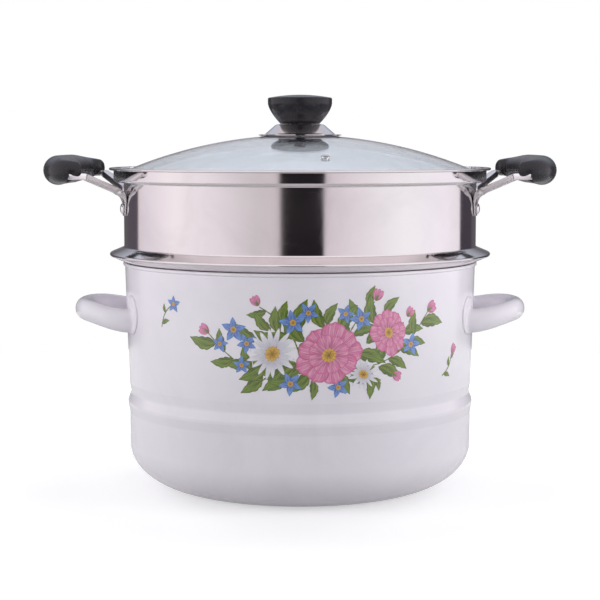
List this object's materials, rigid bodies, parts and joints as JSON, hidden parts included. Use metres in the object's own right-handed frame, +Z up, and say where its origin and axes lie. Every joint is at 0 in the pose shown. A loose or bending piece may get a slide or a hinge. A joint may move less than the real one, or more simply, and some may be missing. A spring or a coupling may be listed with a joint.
{
  "type": "steamer pot",
  "caption": "White enamelled steamer pot with a stainless steamer tier, black grips and a domed glass lid with a black knob.",
  "frame": {"origin": "middle of the underside of the pot's base", "axes": "+Z up along the common axis of pot, tier and lid, X through the ears and the handles, -Y towards the pictured front"},
  "size_m": [0.4016, 0.3038, 0.3131],
  "materials": {
    "enamel": "glossy white porcelain enamel on steel, with a printed floral design on the front",
    "steel": "mirror-polished stainless steel",
    "band": "satin stainless steel",
    "glass": "clear tempered glass",
    "phenolic": "black phenolic resin, semi-gloss",
    "silicone": "matt grey silicone",
    "brass": "machined brass"
  },
  "bodies": {
    "pot": {"pot_body": "enamel", "pot_ear_left": "enamel", "pot_ear_right": "enamel"},
    "steamer": {"steamer_body": "steel", "handle_leg_left_front": "steel", "handle_leg_left_rear": "steel", "handle_leg_right_front": "steel", "handle_leg_right_rear": "steel", "handle_grip_left": "phenolic", "handle_grip_right": "phenolic", "leg_rivet_left_front": "steel", "leg_rivet_left_rear": "steel", "leg_rivet_right_front": "steel", "leg_rivet_right_rear": "steel", "grip_screw_left_front": "steel", "grip_screw_left_rear": "steel", "grip_screw_right_front": "steel", "grip_screw_right_rear": "steel"},
    "lid": {"lid_glass": "glass", "lid_band": "band", "vent_eyelet": "band", "knob": "phenolic", "knob_skirt": "steel", "skirt_gasket": "silicone", "knob_insert": "brass", "knob_screw": "band", "screw_washer": "band", "screw_grommet": "silicone"}
  },
  "joints": [
    {"name": "steamer_lift", "type": "slide", "parent": "pot", "child": "steamer", "axis": [0, 0, 1], "range_m": [0, 0.12]},
    {"name": "lid_lift", "type": "slide", "parent": "steamer", "child": "lid", "axis": [0, 0, 1], "range_m": [0, 0.12]}
  ]
}
